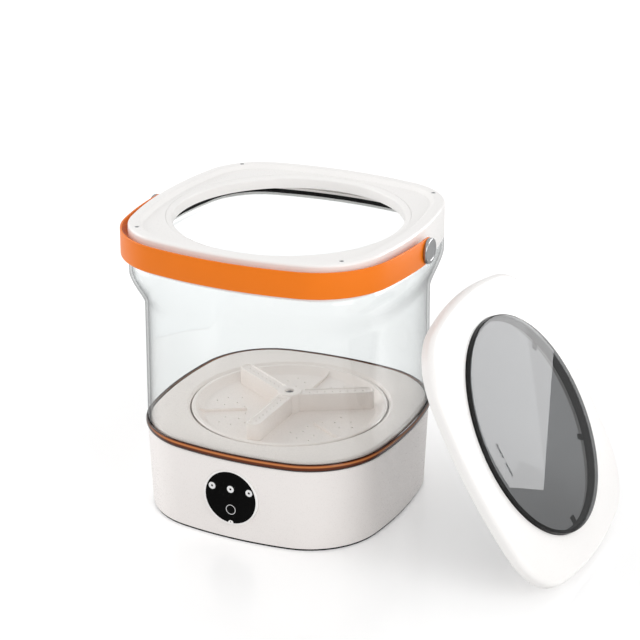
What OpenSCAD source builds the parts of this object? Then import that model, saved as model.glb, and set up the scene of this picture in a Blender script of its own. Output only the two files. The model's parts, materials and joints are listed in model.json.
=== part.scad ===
// Portable tabletop washing machine: a rounded-square base with a touch panel, a clear
// flared tub on an amber trim, a white collar with a swinging strap handle, and a lid
// with a smoked round window that stands beside the machine.
// The origin is on the floor under the middle of the machine, the panel faces -Y, Z is up.

/* [Outline] */
// Width of the machine across its amber trim
body_w = 270; // [262:1:278]
// Radius of the gently bulged sides, at the trim
side_r = 385; // [350:5:420]
// Radius of the machine's corners, at the trim
corner_r = 84; // [76:1:90]
// Flat steps along each bulged side
side_steps = 6; // [4:1:8]
// Flat steps round each corner
corner_steps = 8; // [6:1:10]

/* [Base] */
// Thickness of the rubber foot ring
foot_t = 2; // [1.5:0.5:3]
// Width of the rubber foot ring's tread
foot_w = 9; // [6:1:14]
// Height of the white housing's top edge above the floor
housing_top = 90; // [88:1:93]
// How much narrower the housing is at its foot, each side
housing_draft = 3.5; // [2:0.5:5]
// Wall of the white mouldings
wall = 3; // [2.5:0.25:3.5]
// Thickness of the base plate
plate_t = 2.5; // [2.5:0.25:3.5]
// Distance of each corner post from the machine's sides
post_in = 45; // [43:1:51]
// Radius of the corner posts
post_r = 5; // [4:0.5:6]

/* [Trim and tub] */
// Height of the amber trim ring
trim_h = 8.9; // [8:0.1:11]
// How far the trim bulges past the housing
trim_bulge = 1.9; // [1:0.1:2.5]
// Thickness of the clear tub's wall
tub_wall = 2.6; // [2:0.1:3]
// Height of the tub's upright part, below its flare
tub_h = 133.7; // [120:0.1:142]
// Height of the flare
flare_h = 34; // [28:0.5:38]
// Height of the clear rim between the flare and the collar
clear_rim_h = 15; // [12:0.5:19]
// How much wider the collar is than the trim, each side
collar_step = 9.4; // [8:0.1:11]
// Radius of the collar's corners
collar_corner_r = 69; // [64:1:74]
// Height of the tongue of the tub inside the collar
tongue_h = 6.5; // [6:0.5:9]

/* [Wash deck] */
// Height of the deck round the pulsator above the trim
deck_rise = 0.7; // [0.5:0.1:3]
// Thickness of the deck
deck_t = 2.4; // [2:0.1:3]
// Width of the deck between its edge and the round well that the pulsator turns in
deck_w = 23.8; // [23:0.1:25]
// Depth of the well
well_depth = 11.2; // [10.5:0.1:12]

/* [Pulsator] */
// Gap between the pulsator and the wall of its well
well_gap = 5; // [4:0.5:10]
// Height of the pulsator's rim above its underside
pulsator_h = 9.5; // [8:0.25:10.5]
// Thickness of the pulsator's dish
dish_t = 2.6; // [2:0.1:3]
// Height of the blades above the dish
blade_h = 19.5; // [16:0.5:24]
// Width of each blade
blade_w = 15.5; // [14:0.5:20]
// Gap between the blades' ends and the pulsator's edge
blade_in = 14; // [12:1:22]
// Radius of the hub in the middle
hub_r = 13; // [11:0.5:15]
// Radius of a drain hole in the pulsator
drain_r = 1; // [0.8:0.1:1.2]

/* [Collar and mouth] */
// Height of the collar
collar_h = 37.5; // [35:0.5:40]
// Wall of the collar
collar_wall = 2.5; // [2:0.25:2.75]
// Width of the raised rim round the collar's top
rim_w = 11; // [9:0.5:13]
// Depth of the recess inside the raised rim
recess = 4.3; // [3:0.1:5]
// Width of the collar's top between its side and the round mouth
shoulder_w = 26.4; // [25.4:0.1:30]
// Height of the upright wall of the mouth
mouth_wall_h = 11; // [8:0.5:12]

/* [Handle] */
// Height of the strap handle
strap_w = 27; // [24:0.2:29]
// Thickness of the strap handle
strap_t = 2; // [1.6:0.1:3]
// Gap between the collar and the strap
strap_gap = 6.9; // [6.2:0.1:7.6]
// Radius of the strap's corners
strap_corner_r = 84; // [80:1:88]
// Height of the strap's pivots above the collar's lower edge
pivot_rise = 17.5; // [17:0.1:19]
// Angle by which the strap rests above level at its front
strap_lift = 0.5; // [0:0.1:1]
// Radius of the chrome pin caps
pin_cap_r = 13.2; // [11:0.1:14]
// Thickness of the chrome pin caps
pin_cap_t = 3.75; // [3:0.25:5]
// Radius of the pins
pin_r = 4.2; // [3.5:0.1:4.5]

/* [Touch panel] */
// Radius of the black touch panel
panel_r = 28.3; // [26:0.1:30]
// Height above the floor of the panel's centre
panel_z = 48.8; // [46:0.2:50]
// Width of the white bezel round the panel
bezel_w = 2.2; // [1.8:0.1:3]
// Radius of the start ring printed on the panel
start_ring_r = 5.4; // [4.5:0.1:6.5]
// Radius of the three program rings printed on the panel
icon_r = 3.8; // [3:0.1:4]

/* [Drive] */
// Radius of the drive shaft
shaft_r = 5; // [4:0.5:5.5]
// Outer radius of the ball bearings
bearing_r = 13; // [12:0.5:14]
// Width of the ball bearings
bearing_w = 8; // [7:0.5:9]
// Belt radius of the large pulley
driven_r = 53; // [46:1:54]
// Belt radius of the motor pulley
driver_r = 8; // [7:0.5:10]
// Width of the drive belt
belt_w = 5; // [4:0.5:6]
// Thickness of the drive belt
belt_t = 2; // [1.5:0.1:2.5]
// Radius of the motor's can
motor_r = 26; // [22:1:28]
// Length of the motor's can
motor_h = 44; // [36:1:46]
// Radius of the motor shaft
motor_shaft_r = 2.5; // [2:0.25:3]

/* [Lid] */
// How far the lid reaches past the collar, each side
lid_over = 3.1; // [1.5:0.1:5]
// Radius of the lid's corners
lid_corner_r = 75; // [71:1:79]
// Height of the lid's side
lid_h = 13; // [12:0.5:16]
// How much smaller the smoked window is than the lid's plug, in radius
window_in = 3.9; // [3.4:0.1:10]
// How far the window stands proud of the lid
window_rise = 5.6; // [4:0.1:6.5]
// Angle between the lid's outer face and the floor
lid_tilt = 59.9; // [55:0.1:65]
// Turn of the standing lid about the vertical
lid_turn = 0.3; // [-10:0.1:10]
// Place of the lid's middle, to the right of the machine
lid_x = 272.7; // [270:0.1:320]
// Place of the lid's middle, in front of (-) or behind the machine's middle
lid_y = -10.5; // [-60:0.1:40]
// Gap between the lowest edge of the lid and the floor
lid_lift = 0.2; // [0.2:0.1:2]

/* [Fits] */
// Gap between pieces that fit together and stay put
fit = 0.2; // [0.15:0.05:0.3]
// Gap beside anything that turns or swings
running = 0.3; // [0.2:0.05:0.4]
// Gap round the shafts and hinge pins in their holes
shaft_gap = 0.1; // [0.05:0.01:0.1]
// Gap round the lid's plug in the mouth
lid_fit = 0.8; // [0.5:0.1:1.2]

/* [Hidden] */
$fn = 64;
eps = 0.01;

// Rounded square: the middles of its bulged sides and of its corners
half_w = body_w / 2;
side_mid = side_r - half_w;
function corner_mid(a, r) = (sqrt(2 * pow(a + side_mid - r, 2) - side_mid * side_mid) - side_mid) / 2;
function turn(c) = atan2(c, c + side_mid);
function round_r(a, c) = a + side_mid - norm([c + side_mid, c]);
function arc(x, y, r, from, to, steps) =
    [for (i = [0:steps - 1]) let (t = from + (to - from) * i / steps) [x + r * cos(t), y + r * sin(t)]];
function spun(p, t) = [p[0] * cos(t) - p[1] * sin(t), p[0] * sin(t) + p[1] * cos(t)];
function quarter(a, c) = let (t = turn(c)) concat(
    arc(-side_mid, 0, a + side_mid, -t, t, side_steps),
    arc(c, c, round_r(a, c), t, 90 - t, corner_steps));
function ring(a, c) = [for (q = [0:90:270]) for (p = quarter(a, c)) spun(p, q)];
function side_x(a, y) = sqrt(pow(a + side_mid, 2) - y * y) - side_mid;
function mix(a, b, t) = a + (b - a) * t;
function ease(t) = t * 0.55 + 0.45 * (1 - cos(180 * t)) / 2;
low_c = corner_mid(half_w, corner_r);

// Base
plate_z = foot_t;
plate_top = plate_z + plate_t;
foot_half = half_w - housing_draft - 1.3;
function housing_half(z) = half_w - housing_draft * (1 - (z - foot_t) / (housing_top - foot_t));
flange_w = 10;
flange_t = 2.8;
screw_r = 1.4;
screw_head_r = 3.4;
screw_head_t = 1.6;
post_at = half_w - post_in;
post_top = housing_top - 28;
base_screw_len = 12;

// Trim and tub
trim_top = housing_top + trim_h;
trim_seat = housing_top + 2.4;
trim_side = 2.9;
gasket_t = 0.9;
tub_low_half = half_w - 0.3;
tub_top_half = tub_low_half - 0.8;
tub_bottom = trim_seat + gasket_t;
flare_low = tub_bottom + tub_h;
flare_top = flare_low + flare_h;
seam_z = flare_top + clear_rim_h;
collar_half = half_w + collar_step;
top_c = corner_mid(collar_half, collar_corner_r);
flare_steps = 8;
tongue_half = collar_half - collar_wall + 0.1;
tongue_top = seam_z + tongue_h;
seal_leg = 1.6;
seal_drop = 2;
seal_t = 2.4;
seal_top = tongue_top + seal_t;

// Deck
deck_half = tub_low_half - tub_wall - running;
deck_z = trim_top + deck_rise;
well_r = deck_half - deck_w;
well_floor = deck_z - well_depth;
well_under = well_floor - deck_t;
deck_flange_t = 2.6;
deck_screw_off = 46;
deck_screw_len = 4.6;
deck_inner = well_r - 20;

// Drive line, from the deck down
boss_r = 15;
bearing_top = well_under - 6;
bearing_flange_r = 38;
bearing_flange_t = 4;
bearing_len = 44;
bearing_screw_at = 31;
bearing_low = bearing_top - bearing_len;
bore_gap = 0.05;
race_lip = 2;
seal_r = 11;
seal_h = 6.5;
belt_z = 29;
rim_h = belt_w + 4;
pulley_low = belt_z - rim_h / 2;
nut_h = 5;
nut_r = 7.5;
shaft_low = pulley_low - nut_h - 1;

// Pulsator
pulsator_r = well_r - well_gap;
blade_reach = pulsator_r - blade_in;
pulsator_z = well_floor + 0.9;
dish_top = pulsator_z + dish_t;
dish_flat_r = pulsator_r - 12;
blade_top = dish_top + blade_h;
hub_top = blade_top + 1.5;
shaft_top = hub_top - 9;
blade_turn = 30;
rib_from = 45;
rib_h = 3;
rib_t = 2;
rib_turn = 60;
// Distance from the middle and angle from a rib's line of each drain hole beside it
drain_places = [[48, 11], [58, 20], [70, 13], [58, 33], [72, 28], [80, 20]];

// Motor and its bracket
centre_d = well_r - motor_r;
bracket_t = 2.2;
bracket_top = bearing_low + 2.7;
bracket_z = bracket_top - bracket_t;
bracket_post_x = motor_r + 10;
bracket_post_y = motor_r - 6;
bracket_post_r = 4.5;
grommet_r = 5.5;
grommet_t = 3;
motor_z = bracket_top;
pilot_r = 6;
motor_screw_at = 16;

// Collar, mouth ring and handle
collar_top = seam_z + collar_h;
mouth_r = collar_half - shoulder_w;
rim_round = 3.4;
recess_z = collar_top - recess;
plate_under = recess_z - 2.4;
funnel_w = 6.2;
funnel_drop = 1.7;
mouth_top = recess_z - funnel_drop;
mouth_low = mouth_top - mouth_wall_h;
mouth_wall = 2.6;
mouth_flange_r = mouth_r + 13;
plate_inner = mouth_r - 23;
arm_w = 13;
collar_screw_in = 7.2;
collar_screw_at = top_c + (round_r(collar_half, top_c) - collar_screw_in) / sqrt(2);
collar_screw_r = 1.3;
collar_head_r = 2.2;
collar_boss_r = 2.6;
collar_boss_h = 12;
pivot_z = seam_z + pivot_rise;
strap_half = collar_half + strap_gap;
strap_c = corner_mid(strap_half + strap_t, strap_corner_r);
washer_t = 0.5;
boss_out = strap_gap - washer_t - 0.6;
pin_boss_r = 9;
cap_x = strap_half + strap_t + running;
acorn_r = 5.9;
acorn_t = 4;

// Touch panel
bezel_r = panel_r + bezel_w;
bezel_front = housing_half(panel_z) + 1.1;
panel_t = 2.4;
panel_front = bezel_front - 0.35;
ledge_w = 4.5;
ledge_t = 4;
panel_back = panel_front - panel_t;
ledge_back = panel_back - ledge_t;
board_t = 1.6;
bezel_flange_r = 38;
bezel_flange_t = 2;
bezel_flange_y = housing_half(panel_z) - 5.8;
bezel_back = bezel_flange_y - bezel_flange_t;
panel_boss_h = 3.4;
panel_screw_at = 34.6;
ring_line = 0.6;
ring_t = 0.15;
start_ring_drop = 13.4;
icon_hole_r = 1.2;
icon_rise = 9.4;
icon_gap = 20.9;
tab_r = 3;
tab_t = 0.6;
lens_r = 0.6;
lens_in = 1.3;
bezel_flat = housing_top - flange_t - fit - panel_z;

// Driver board and power inlet
board_x = 43 - half_w;
board_w = 42;
board_l = 62;
board_z = plate_top + 5.5;
standoff_r = 3;
inlet_z = 24;
inlet_r = 6;
inlet_flange_r = 9;
inlet_len = 20;
plug_r = 2.8;
wire_r = 1.2;

// Lid, drawn lying flat with its outer face at height 0, then stood up
lid_half = collar_half + lid_over;
lid_c = corner_mid(lid_half, lid_corner_r);
lid_wall = 2.6;
lid_round = 5;
pane_t = 2.4;
pane_low = -lid_wall;
plug_r_out = mouth_r - lid_fit;
window_r = plug_r_out - window_in;
lid_inner = window_r - 24.5;
lid_ledge_z = pane_low - 1.6;
sleeve_out = window_r - pane_t - fit;
sleeve_in = sleeve_out - 1.5;
sleeve_low = pane_low - 2.9;
ledge_in = window_r - 2.2;
lid_plug_low = 2 - lid_h;
lid_z = lid_half * sin(lid_tilt) + (lid_h - 1) * cos(lid_tilt) + lid_lift;
slot_l = 14.3;
slot_w = 2;
slot_gap = 6;
slot_at = window_r - 22.8;
slot_off = 1.6;
clip_l = 8.5;
clip_w = 6;
clip_t = 2;
clip_low = sleeve_low - fit - clip_t;

// A closed outline of [half width, height, corner middle] points, swept round the machine
module sweep(outline) {
    rings = [for (p = outline) [for (v = ring(p[0], p[2])) [v[0], v[1], p[1]]]];
    n = len(rings[0]);
    m = len(rings);
    faces = [for (k = [0:m - 1]) for (i = [0:n - 1])
        let (j = (i + 1) % n, up = (k + 1) % m)
        each [[k * n + i, up * n + j, k * n + j], [k * n + i, up * n + i, up * n + j]]];
    polyhedron([for (r = rings) each r], faces);
}

// Adds the same corner middle to every point of an outline
function on(c, outline) = [for (p = outline) [p[0], p[1], c]];

// A flat rounded-square ring
module band(outer, inner, c, z, h) {
    translate([0, 0, z]) linear_extrude(h) difference() {
        polygon(ring(outer, c));
        polygon(ring(inner, c));
    }
}

// A screw that points up, its head's underside at height 0
module screw_up(r, head_r, head_t, length) {
    translate([0, 0, -head_t]) difference() {
        cylinder(r = head_r, h = head_t);
        translate([0, 0, -eps]) cylinder(r = head_r * 0.45, h = head_t * 0.5, $fn = 6);
    }
    cylinder(r = r, h = length);
}

module at_corners(d) {
    for (q = [0:90:270]) rotate(q) translate([d, d, 0]) rotate(45) children();
}

module at_deck_screws() {
    r = deck_half - wall - flange_w / 2 + 1;
    for (q = [0:90:270], s = [-1, 1]) rotate(q) translate([side_x(r, deck_screw_off), s * deck_screw_off, 0])
        children();
}

module around(n, r, first) {
    for (i = [0:n - 1]) rotate(first + i * 360 / n) translate([r, 0, 0]) children();
}

// Turns a piece that is drawn along Z so that it points out of the front of the machine
module facing_front(x, y, z) {
    translate([x, -y, z]) rotate([90, 0, 0]) children();
}

module at_bracket_posts() {
    for (x = [-1, 1], y = [-1, 1]) translate([x * bracket_post_x, centre_d + y * bracket_post_y, 0])
        children();
}

module foot_ring() {
    color("#1c1c1e") band(foot_half, foot_half - foot_w, low_c, 0, foot_t);
}

module base_plate() {
    edge = housing_half(plate_z) - wall - fit;
    color("#d9d6d2") difference() {
        union() {
            translate([0, 0, plate_z]) linear_extrude(plate_t) polygon(ring(edge, low_c));
            at_board_corners() translate([0, 0, plate_top]) cylinder(r = standoff_r, h = board_z - plate_top);
        }
        at_corners(post_at) {
            translate([0, 0, plate_z - eps]) cylinder(r = screw_r + fit, h = plate_t + 1);
            translate([0, 0, plate_z - eps]) cylinder(r = screw_head_r + fit, h = screw_head_t + 2 * eps);
        }
        at_board_corners() translate([0, 0, plate_top + 1]) cylinder(r = screw_r, h = board_z);
    }
}

module base_screws() {
    color("#8d8f92") at_corners(post_at) translate([0, 0, plate_z + screw_head_t])
        screw_up(screw_r, screw_head_r, screw_head_t - fit, base_screw_len);
}

module base_housing() {
    low = housing_half(foot_t);
    top = half_w;
    web_from = post_at * sqrt(2) + post_r - 1;
    web_to = low_c * sqrt(2) + round_r(low - wall, low_c) + wall * 0.9;
    color("#f0edea") difference() {
        union() {
            sweep(on(low_c, [
                [low - 0.8, foot_t], [low, foot_t + 0.8],
                [top - 0.1, housing_top - 2], [top - 0.8, housing_top],
                [top - wall - flange_w, housing_top], [top - wall - flange_w, housing_top - flange_t],
                [top - wall, housing_top - flange_t], [low - wall, plate_top], [low - wall, foot_t]]));
            at_corners(post_at) {
                translate([0, 0, plate_top]) cylinder(r = post_r, h = post_top - plate_top);
                translate([post_r - 1, -1.2, plate_top + 2])
                    cube([web_to - web_from, 2.4, post_top - plate_top - 4]);
            }
            panel_boss_posts();
        }
        at_corners(post_at) translate([0, 0, plate_top - eps]) cylinder(r = screw_r, h = base_screw_len + 2);
        facing_front(0, 0, panel_z) cylinder(r = bezel_r + fit, h = half_w + 20, $fn = 96);
        panel_screw_holes();
        translate([0, half_w - 20, inlet_z]) rotate([-90, 0, 0]) cylinder(r = inlet_r + fit, h = 30);
        at_deck_screws() translate([0, 0, housing_top - flange_t - 1])
            cylinder(r = screw_r + fit, h = flange_t + 2);
    }
}

module at_panel_screws(y) {
    for (t = [45:90:315])
        facing_front(panel_screw_at * cos(t), y, panel_z + panel_screw_at * sin(t)) children();
}

module panel_boss_posts() {
    at_panel_screws(bezel_flange_y) cylinder(r = 3.2, h = panel_boss_h);
}

module panel_screw_holes() {
    at_panel_screws(bezel_flange_y - 1) cylinder(r = screw_r, h = panel_boss_h + 0.2);
}

module trim_ring() {
    out = half_w;
    color("#a4561f") sweep(on(low_c, [
        [out - 0.2, housing_top], [out + trim_bulge * 0.65, housing_top + trim_h * 0.17],
        [out + trim_bulge, housing_top + trim_h * 0.43],
        [out + trim_bulge * 0.92, housing_top + trim_h * 0.7],
        [out + trim_bulge * 0.55, trim_top - 1], [out + 0.2, trim_top], [out, trim_top - 0.6],
        [out, trim_seat], [out - trim_side, trim_seat], [out - trim_side, housing_top]]));
}

module tub_gasket() {
    color("#3a3a3c") band(tub_low_half, half_w - trim_side, low_c, trim_seat, gasket_t);
}

// Half width, height and corner middle of the tub's outside at t along its flare
function flare_at(t) = [mix(tub_top_half, collar_half, ease(t)), mix(flare_low, flare_top, t),
    mix(low_c, top_c, ease(t))];

module tub() {
    flare = [for (i = [0:flare_steps]) flare_at(i / flare_steps)];
    inside = [for (i = [flare_steps:-1:0]) [flare[i][0] - tub_wall, flare[i][1] + tub_wall / 4, flare[i][2]]];
    jog = seam_z - 2;
    color("#e3e8ea", 0.35) sweep(concat(
        [[tub_low_half, tub_bottom, low_c]], flare, [[collar_half, seam_z - fit, top_c]],
        on(top_c, [[tongue_half, seam_z - fit], [tongue_half, tongue_top],
            [tongue_half - tub_wall + 0.2, tongue_top], [tongue_half - tub_wall + 0.2, jog],
            [collar_half - tub_wall, jog - 4]]),
        inside, [[tub_low_half - tub_wall, tub_bottom, low_c]]));
}

module wash_deck() {
    out = deck_half;
    in = deck_half - wall;
    color("#ddd6d1") difference() {
        union() {
            difference() {
                sweep(on(low_c, [
                    [out, housing_top], [out, deck_z - 4], [out - 0.7, deck_z - 2], [out - 2.4, deck_z - 0.6],
                    [out - 4.6, deck_z], [deck_inner, deck_z], [deck_inner, deck_z - deck_t],
                    [in - 1.4, deck_z - deck_t], [in, deck_z - 5], [in, housing_top + deck_flange_t],
                    [in - flange_w + 4, housing_top + deck_flange_t], [in - flange_w + 4, housing_top]]));
                translate([0, 0, well_under - 1]) cylinder(r = well_r + 0.5, h = well_depth + 10, $fn = 96);
            }
            rotate_extrude($fn = 96) polygon([[0, well_under], [well_r + deck_t, well_under],
                [well_r + deck_t, deck_z], [well_r, deck_z], [well_r, well_floor], [0, well_floor]]);
            translate([0, 0, bearing_top]) cylinder(r = boss_r, h = well_under - bearing_top + eps);
            around(4, bearing_screw_at, 45) translate([0, 0, bearing_top])
                cylinder(r = 4, h = well_under - bearing_top + eps);
            at_bracket_posts() translate([0, 0, bracket_top + grommet_t])
                cylinder(r = bracket_post_r, h = well_under - bracket_top - grommet_t + eps);
        }
        translate([0, 0, bearing_top - 1]) cylinder(r = seal_r + fit, h = 30);
        around(4, bearing_screw_at, 45) translate([0, 0, bearing_top - 1]) cylinder(r = screw_r, h = 6);
        at_bracket_posts() translate([0, 0, bracket_top + grommet_t - 1]) cylinder(r = screw_r, h = 14);
        at_deck_screws() translate([0, 0, housing_top - 1]) cylinder(r = screw_r, h = 2.8);
    }
}

module deck_screws() {
    color("#8d8f92") at_deck_screws() translate([0, 0, housing_top - flange_t])
        screw_up(screw_r, screw_head_r, screw_head_t, deck_screw_len);
}

module collar_gasket() {
    inner = tongue_half - tub_wall + 0.2;
    color("#151515") sweep(on(top_c, [
        [tongue_half, tongue_top], [tongue_half, seal_top], [inner - fit - seal_leg, seal_top],
        [inner - fit - seal_leg, tongue_top - seal_drop], [inner - fit, tongue_top - seal_drop],
        [inner - fit, tongue_top]]));
}

module collar() {
    out = collar_half;
    in = collar_half - collar_wall;
    shelf = seal_top + 2.2;
    lip = out - rim_round;
    rim_in = lip - rim_w + rim_round;
    color("#fbfaf8") difference() {
        union() {
            sweep(on(top_c, [
                [out, seam_z], [out, collar_top - rim_round - 1], [out - 0.4, collar_top - rim_round * 0.6],
                [out - rim_round * 0.45, collar_top - 0.8], [lip, collar_top], [rim_in, collar_top],
                [rim_in - 2.6, collar_top - recess * 0.75], [rim_in - 5, recess_z], [plate_inner, recess_z],
                [plate_inner, plate_under], [rim_in - 4, plate_under], [rim_in - 1, collar_top - 2.4],
                [lip - 1, collar_top - 2.4], [in, collar_top - rim_round - 1.4], [in, shelf],
                [in - 4, shelf], [in - 4, seal_top], [in + 0.3, seal_top], [in + 0.3, seam_z]]));
            for (s = [0, 180]) rotate(s) translate([out - 1.5, 0, pivot_z]) rotate([0, 90, 0])
                cylinder(r = pin_boss_r, h = boss_out + 1.5);
        }
        translate([0, 0, seam_z]) cylinder(r = mouth_r + funnel_w + fit, h = 60, $fn = 96);
        for (s = [0, 180]) rotate(s) translate([in - 5, 0, pivot_z]) rotate([0, 90, 0])
            cylinder(r = pin_r + fit, h = 20);
        at_corners(collar_screw_at) {
            translate([0, 0, plate_under - 5]) cylinder(r = collar_screw_r + fit, h = 20);
            translate([0, 0, collar_top - 1.2]) cylinder(r = collar_head_r + fit, h = 3);
        }
    }
}

module mouth_ring() {
    r = mouth_r;
    boss_low = plate_under - collar_boss_h;
    color("#f4f2ef") difference() {
        union() {
            rotate_extrude($fn = 128) polygon([
                [r, mouth_low], [r + mouth_wall, mouth_low], [r + mouth_wall, plate_under - 2.4],
                [mouth_flange_r, plate_under - 2.4], [mouth_flange_r, plate_under],
                [r + funnel_w, plate_under], [r + funnel_w, recess_z],
                [r + 0.8, mouth_top], [r, mouth_top - 0.8]]);
            at_corners(collar_screw_at) {
                translate([-30, -arm_w / 2, plate_under - 2.4]) cube([30, arm_w, 2.4]);
                translate([0, 0, boss_low]) cylinder(r = collar_boss_r, h = collar_top - 2.4 - boss_low);
            }
        }
        at_corners(collar_screw_at) translate([0, 0, boss_low + 2]) cylinder(r = collar_screw_r, h = 20);
    }
}

module collar_screws() {
    color("#9a9c9e") at_corners(collar_screw_at) translate([0, 0, collar_top - 1.2]) rotate([180, 0, 0])
        screw_up(collar_screw_r, collar_head_r, 1, collar_boss_h);
}

module handle() {
    out = strap_half + strap_t;
    end_r = strap_w / 2;
    color("#ec7d23") translate([0, 0, pivot_z]) rotate([-strap_lift, 0, 0]) translate([0, 0, -pivot_z])
    difference() {
        union() {
            intersection() {
                band(out, strap_half, strap_c, pivot_z - end_r, strap_w);
                translate([-out - 1, -out - 1, 0]) cube([2 * out + 2, out + 1, collar_top + strap_w]);
            }
            intersection() {
                band(out, strap_half, strap_c, pivot_z - end_r, strap_w);
                translate([-out - 1, 0, pivot_z]) rotate([0, 90, 0]) cylinder(r = end_r, h = 2 * out + 2);
            }
        }
        translate([-out - 1, 0, pivot_z]) rotate([0, 90, 0]) cylinder(r = pin_r + shaft_gap, h = 2 * out + 2);
    }
}

module at_pivots(x) {
    for (s = [0, 180]) rotate(s) translate([x, 0, pivot_z]) rotate([0, 90, 0]) children();
}

module handle_pins() {
    shank_from = collar_half - collar_wall - acorn_t - 1.2;
    color("#b9bcbf") at_pivots(0) union() {
        rotate_extrude() polygon([[0, cap_x], [pin_cap_r, cap_x], [pin_cap_r, cap_x + pin_cap_t - 0.8],
            [pin_cap_r - 0.8, cap_x + pin_cap_t], [0, cap_x + pin_cap_t]]);
        translate([0, 0, shank_from]) cylinder(r = pin_r, h = cap_x - shank_from + eps);
    }
}

module handle_washers() {
    color("#e8e6e2") at_pivots(collar_half + boss_out) difference() {
        cylinder(r = pin_boss_r - 1.5, h = washer_t);
        translate([0, 0, -eps]) cylinder(r = pin_r + fit, h = washer_t + 1);
    }
}

module pin_nuts() {
    color("#a9acae") at_pivots(collar_half - collar_wall - acorn_t - 2 * fit) difference() {
        cylinder(r = acorn_r, h = acorn_t, $fn = 6);
        translate([0, 0, -eps]) cylinder(r = pin_r + bore_gap, h = acorn_t + 1);
    }
}

module panel_bezel() {
    color("#f3f1ee") facing_front(0, 0, panel_z) union() {
        bezel_ring();
        bezel_tab();
    }
}

module bezel_ring() {
    difference() {
        rotate_extrude($fn = 96) polygon([
            [panel_r - ledge_w, ledge_back], [panel_r + fit, ledge_back], [panel_r + fit, bezel_back],
            [bezel_flange_r, bezel_back], [bezel_flange_r, bezel_flange_y], [bezel_r, bezel_flange_y],
            [bezel_r, bezel_front - 0.6], [bezel_r - 0.6, bezel_front], [panel_r + fit, bezel_front],
            [panel_r + fit, panel_back], [panel_r - ledge_w, panel_back]]);
        translate([-bezel_flange_r, bezel_flat, bezel_back - 1]) cube([2 * bezel_flange_r, 10, 4]);
        for (t = [45:90:315]) translate([panel_screw_at * cos(t), panel_screw_at * sin(t), bezel_back - 1])
            cylinder(r = screw_r + fit, h = 10);
        for (t = [30:120:270]) translate([(panel_r - 2.2) * cos(t), (panel_r - 2.2) * sin(t), ledge_back - 1])
            cylinder(r = 0.8, h = 4);
    }
}

// The small half-round tab at the foot of the bezel, over the panel's edge
module bezel_tab() {
    translate([0, 0, panel_front + fit / 2]) difference() {
        intersection() {
            translate([0, -panel_r, 0]) cylinder(r = tab_r, h = tab_t);
            cylinder(r = bezel_r - 0.8, h = tab_t, $fn = 96);
        }
        translate([0, lens_in - panel_r, -1]) cylinder(r = lens_r + bore_gap, h = tab_t + 2);
    }
}

module indicator_lens() {
    color("#1c1c1c") facing_front(0, panel_front + eps, panel_z) translate([0, lens_in - panel_r, 0])
        cylinder(r = lens_r, h = tab_t + fit / 2);
}

module touch_panel() {
    color("#101010") facing_front(0, panel_back, panel_z) cylinder(r = panel_r, h = panel_t, $fn = 96);
}

module panel_rings() {
    color("#e9e9e9") facing_front(0, panel_front, panel_z) {
        translate([0, -start_ring_drop, 0]) difference() {
            cylinder(r = start_ring_r, h = ring_t);
            translate([0, 0, -eps]) cylinder(r = start_ring_r - ring_line, h = 1);
        }
        for (x = [-1, 0, 1]) translate([x * icon_gap, icon_rise, 0]) difference() {
            cylinder(r = icon_r, h = ring_t);
            translate([0, 0, -eps]) cylinder(r = icon_hole_r, h = 1);
        }
    }
}

module panel_screws() {
    color("#8d8f92") at_panel_screws(bezel_back)
        screw_up(screw_r, 2.6, screw_head_t, bezel_flange_t + panel_boss_h - 1.2);
}

module touch_board() {
    color("#2f6b46") facing_front(0, ledge_back - board_t, panel_z) difference() {
        union() {
            cylinder(r = panel_r - 0.3, h = board_t);
            translate([-8, -18, -5]) cube([16, 7, 5 + eps]);
        }
        for (t = [30:120:270]) translate([(panel_r - 2.2) * cos(t), (panel_r - 2.2) * sin(t), -eps])
            cylinder(r = 1, h = board_t + 1);
    }
}

module touch_pads() {
    color("#bfa14a") facing_front(0, ledge_back, panel_z) {
        translate([0, -start_ring_drop, 0]) cylinder(r = 3, h = ledge_t);
        for (x = [-1, 0, 1]) translate([x * (icon_gap - 3), icon_rise, 0]) cylinder(r = 2.6, h = ledge_t);
    }
}

module touch_board_screws() {
    color("#8d8f92") facing_front(0, ledge_back - board_t, panel_z)
        for (t = [30:120:270]) translate([(panel_r - 2.2) * cos(t), (panel_r - 2.2) * sin(t), 0])
            screw_up(0.75, 1.6, 1, board_t + 2.4);
}

// A straight bar with one round end, from the middle out to the given reach
module blade_plan(w, from, reach) {
    translate([from, -w / 2]) square([reach - w / 2 - from, w]);
    translate([reach - w / 2, 0]) circle(w / 2);
}

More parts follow.
